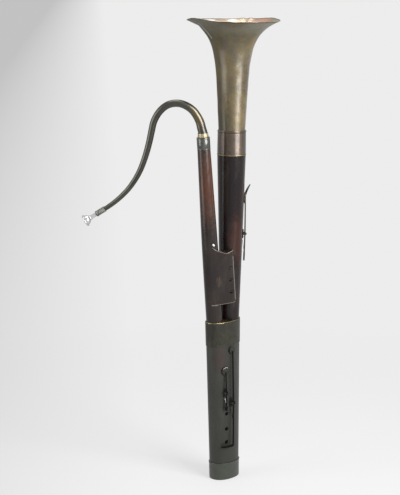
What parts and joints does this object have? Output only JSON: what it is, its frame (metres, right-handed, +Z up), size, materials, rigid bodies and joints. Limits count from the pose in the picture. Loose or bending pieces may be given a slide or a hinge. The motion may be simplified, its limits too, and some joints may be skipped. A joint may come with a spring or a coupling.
{
  "type": "serpent bass horn",
  "caption": "Upright bass horn of the serpent family: oval wooden butt, wing joint with brass crook and cup mouthpiece, bass joint with a flared bell, sprung keys.",
  "frame": {"origin": "centre of the foot's flat underside", "axes": "+Z up along the butt; +X from the wing joint's side to the bass joint's side; -Y is the front, where the finger holes are"},
  "size_m": [0.4121, 0.323, 1.1217],
  "materials": {
    "dark_wood": "near-black stained and worn",
    "red_wood": "dark mahogany stain, polished by handling",
    "old_brass": "olive-brown patina",
    "bright_brass": "rubbed bright",
    "dark_brass": "near-black patina",
    "copper_brown": "copper-brown patina",
    "silver_plate": "polished silver plate",
    "steel": "darkened",
    "pad_leather": "tan pad leather",
    "cork": "plain cork",
    "thread": "waxed thread"
  },
  "bodies": {
    "butt": {"butt_joint": "dark_wood", "butt_ferrule": "old_brass", "butt_cap": "old_brass", "turn_cork": "cork", "key_a_saddle": "old_brass", "key_a_pin": "steel", "key_a_screw_1": "steel", "key_a_screw_2": "steel", "key_b_saddle": "old_brass", "key_b_pin": "steel", "key_b_screw_1": "steel", "key_b_screw_2": "steel"},
    "wing": {"wing_joint": "red_wood", "wing_ferrule": "old_brass", "wing_lapping": "thread"},
    "crook_seat": {"crook_lapping": "thread"},
    "crook": {"crook_tube": "old_brass", "crook_collar": "bright_brass", "mouthpiece_receiver": "dark_brass"},
    "mouthpiece": {"mouthpiece": "silver_plate"},
    "bass": {"bass_joint": "red_wood", "bass_lapping": "thread", "bell_sleeve": "copper_brown", "sleeve_ring": "bright_brass", "thumb_key_saddle": "old_brass", "thumb_key_pin": "steel", "thumb_key_screw_1": "steel", "thumb_key_screw_2": "steel"},
    "bell": {"bell": "old_brass", "bell_bead": "old_brass", "bell_tenon": "old_brass", "bell_lapping": "thread"},
    "key_a": {"key_a": "dark_brass", "key_a_pad": "pad_leather", "key_a_spring": "steel"},
    "key_b": {"key_b": "dark_brass", "key_b_pad": "pad_leather", "key_b_spring": "steel"},
    "thumb_key": {"thumb_key": "old_brass", "thumb_key_pad": "pad_leather", "thumb_key_spring": "steel"}
  },
  "joints": [
    {"name": "wing_pull", "type": "slide", "parent": "butt", "child": "wing", "axis": [-0.0849, 0, 0.9964], "range_m": [0, 0.032]},
    {"name": "crook_pull", "type": "slide", "parent": "wing", "child": "crook_seat", "axis": [-0.0849, 0, 0.9964], "range_m": [0, 0.03]},
    {"name": "crook_swivel", "type": "hinge", "parent": "crook_seat", "child": "crook", "pos_m": [-0.07337, 0, 0.85266], "axis": [-0.0849, 0, 0.9964], "range_deg": [-80, 80]},
    {"name": "mouthpiece_pull", "type": "slide", "parent": "crook", "child": "mouthpiece", "axis": [-0.5886, 0.6099, -0.5306], "range_m": [0, 0.012]},
    {"name": "bass_pull", "type": "slide", "parent": "butt", "child": "bass", "axis": [0.0112, 0, 0.9999], "range_m": [0, 0.034]},
    {"name": "bell_pull", "type": "slide", "parent": "bass", "child": "bell", "axis": [0.0112, 0, 0.9999], "range_m": [0, 0.034]},
    {"name": "key_a_press", "type": "hinge", "parent": "butt", "child": "key_a", "pos_m": [-0.02587, -0.03297, 0.225], "axis": [0.9693, -0.2459, 0], "range_deg": [0, 6.3], "stiffness_Nm_per_rad": 0.4, "springref_deg": -6.3, "deforming": ["key_a_spring"]},
    {"name": "key_b_press", "type": "hinge", "parent": "butt", "child": "key_b", "pos_m": [-0.0051, -0.03639, 0.197], "axis": [0.9999, -0.0112, 0], "range_deg": [0, 3.2], "stiffness_Nm_per_rad": 0.8, "springref_deg": -6.88, "deforming": ["key_b_spring"]},
    {"name": "thumb_key_press", "type": "hinge", "parent": "bass", "child": "thumb_key", "pos_m": [0.04909, -0.01884, 0.60947], "axis": [0.5299, 0.848, -0.0059], "range_deg": [0, 3.5], "stiffness_Nm_per_rad": 0.6, "springref_deg": -6.88, "deforming": ["thumb_key_spring"]}
  ]
}
